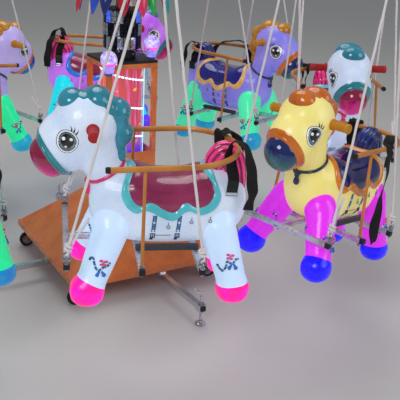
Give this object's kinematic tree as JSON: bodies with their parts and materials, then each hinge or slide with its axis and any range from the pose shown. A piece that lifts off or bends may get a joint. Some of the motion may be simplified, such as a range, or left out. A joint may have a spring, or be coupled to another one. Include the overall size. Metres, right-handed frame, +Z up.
{
  "type": "swing carousel",
  "caption": "Portable children's carousel: light-up moulded ponies in steel guard frames hang on ropes from the arms of a turning head over a wheeled square base",
  "frame": {"origin": "centre of the ring of ponies, on the floor", "axes": "+Z up; the sides of the square deck run along X and Y; the ponies travel clockwise seen from above"},
  "size_m": [2.6621, 2.6404, 1.868],
  "materials": {
    "orange_paint": "satin orange paint, worn",
    "galvanised": "galvanised steel tube",
    "chrome": "bright plated steel",
    "tyre": "black rubber",
    "shell_white": "glossy translucent white, lit from inside",
    "shell_yellow": "glossy translucent yellow, lit from inside",
    "rope": "braided white rope on a steel hanger bar",
    "clear_red": "clear red acrylic tube",
    "lights": "light strip",
    "black": "black",
    "mirror": "faceted mirror panels",
    "lamp": "clear cut lamp ball with coloured light",
    "petals": "glossy coloured sheet"
  },
  "bodies": {
    "base": {"base_deck": "orange_paint", "base_cover": "orange_paint", "column_frame": "orange_paint", "light_tube": "clear_red", "led_rings": "lights", "inner_mast": "orange_paint", "top_tray": "black", "mirror_drum": "mirror", "lamp_cross": "lamp", "outrigger_front": "chrome", "outrigger_right": "chrome", "outrigger_back": "chrome", "outrigger_left": "chrome"},
    "head": {"turning_head": "orange_paint", "petal_skirt": "petals"},
    "swing_1": {"pony_1": "shell_white", "pony_1_frame": "galvanised", "pony_1_ropes": "rope"},
    "swing_2": {"pony_2": "shell_yellow", "pony_2_frame": "galvanised", "pony_2_ropes": "rope"},
    "swing_3": {"pony_3": "shell_white", "pony_3_frame": "galvanised", "pony_3_ropes": "rope"},
    "swing_4": {"pony_4": "shell_yellow", "pony_4_frame": "galvanised", "pony_4_ropes": "rope"},
    "swing_5": {"pony_5": "shell_white", "pony_5_frame": "galvanised", "pony_5_ropes": "rope"},
    "swing_6": {"pony_6": "shell_yellow", "pony_6_frame": "galvanised", "pony_6_ropes": "rope"},
    "swing_7": {"pony_7": "shell_white", "pony_7_frame": "galvanised", "pony_7_ropes": "rope"},
    "swing_8": {"pony_8": "shell_yellow", "pony_8_frame": "galvanised", "pony_8_ropes": "rope"},
    "screw_front": {"levelling_screw_front": "chrome"},
    "screw_right": {"levelling_screw_right": "chrome"},
    "screw_back": {"levelling_screw_back": "chrome"},
    "screw_left": {"levelling_screw_left": "chrome"},
    "fork_1": {"caster_fork_1": "orange_paint"},
    "wheel_1": {"caster_wheel_1": "tyre"},
    "fork_2": {"caster_fork_2": "orange_paint"},
    "wheel_2": {"caster_wheel_2": "tyre"},
    "fork_3": {"caster_fork_3": "orange_paint"},
    "wheel_3": {"caster_wheel_3": "tyre"},
    "fork_4": {"caster_fork_4": "orange_paint"},
    "wheel_4": {"caster_wheel_4": "tyre"}
  },
  "joints": [
    {"name": "head_turn", "type": "hinge", "parent": "base", "child": "head", "pos_m": [0, 0, 1.8], "axis": [0, 0, -1], "continuous": true},
    {"name": "swing_1_out", "type": "hinge", "parent": "head", "child": "swing_1", "pos_m": [-0.33549, -1.01378, 1.752], "axis": [-0.9239, 0.3827, 0], "range_deg": [-4, 25]},
    {"name": "swing_2_out", "type": "hinge", "parent": "head", "child": "swing_2", "pos_m": [0.47962, -0.95408, 1.752], "axis": [-0.9239, -0.3827, 0], "range_deg": [-4, 25]},
    {"name": "swing_3_out", "type": "hinge", "parent": "head", "child": "swing_3", "pos_m": [1.01378, -0.33549, 1.752], "axis": [-0.3827, -0.9239, 0], "range_deg": [-4, 25]},
    {"name": "swing_4_out", "type": "hinge", "parent": "head", "child": "swing_4", "pos_m": [0.95408, 0.47962, 1.752], "axis": [0.3827, -0.9239, 0], "range_deg": [-4, 25]},
    {"name": "swing_5_out", "type": "hinge", "parent": "head", "child": "swing_5", "pos_m": [0.33549, 1.01378, 1.752], "axis": [0.9239, -0.3827, 0], "range_deg": [-4, 25]},
    {"name": "swing_6_out", "type": "hinge", "parent": "head", "child": "swing_6", "pos_m": [-0.47962, 0.95408, 1.752], "axis": [0.9239, 0.3827, 0], "range_deg": [-4, 25]},
    {"name": "swing_7_out", "type": "hinge", "parent": "head", "child": "swing_7", "pos_m": [-1.01378, 0.33549, 1.752], "axis": [0.3827, 0.9239, 0], "range_deg": [-4, 25]},
    {"name": "swing_8_out", "type": "hinge", "parent": "head", "child": "swing_8", "pos_m": [-0.95408, -0.47962, 1.752], "axis": [-0.3827, 0.9239, 0], "range_deg": [-4, 25]},
    {"name": "screw_front_raise", "type": "slide", "parent": "base", "child": "screw_front", "axis": [0, 0, 1], "range_m": [0, 0.045]},
    {"name": "screw_right_raise", "type": "slide", "parent": "base", "child": "screw_right", "axis": [0, 0, 1], "range_m": [0, 0.045]},
    {"name": "screw_back_raise", "type": "slide", "parent": "base", "child": "screw_back", "axis": [0, 0, 1], "range_m": [0, 0.045]},
    {"name": "screw_left_raise", "type": "slide", "parent": "base", "child": "screw_left", "axis": [0, 0, 1], "range_m": [0, 0.045]},
    {"name": "caster_1_swivel", "type": "hinge", "parent": "base", "child": "fork_1", "pos_m": [-0.35, -0.35, 0.09], "axis": [0, 0, 1], "continuous": true},
    {"name": "caster_1_roll", "type": "hinge", "parent": "fork_1", "child": "wheel_1", "pos_m": [-0.378, -0.35, 0.038], "axis": [0, 1, 0], "continuous": true},
    {"name": "caster_2_swivel", "type": "hinge", "parent": "base", "child": "fork_2", "pos_m": [0.35, -0.35, 0.09], "axis": [0, 0, 1], "continuous": true},
    {"name": "caster_2_roll", "type": "hinge", "parent": "fork_2", "child": "wheel_2", "pos_m": [0.322, -0.35, 0.038], "axis": [0, 1, 0], "continuous": true},
    {"name": "caster_3_swivel", "type": "hinge", "parent": "base", "child": "fork_3", "pos_m": [0.35, 0.35, 0.09], "axis": [0, 0, 1], "continuous": true},
    {"name": "caster_3_roll", "type": "hinge", "parent": "fork_3", "child": "wheel_3", "pos_m": [0.322, 0.35, 0.038], "axis": [0, 1, 0], "continuous": true},
    {"name": "caster_4_swivel", "type": "hinge", "parent": "base", "child": "fork_4", "pos_m": [-0.35, 0.35, 0.09], "axis": [0, 0, 1], "continuous": true},
    {"name": "caster_4_roll", "type": "hinge", "parent": "fork_4", "child": "wheel_4", "pos_m": [-0.378, 0.35, 0.038], "axis": [0, 1, 0], "continuous": true}
  ]
}
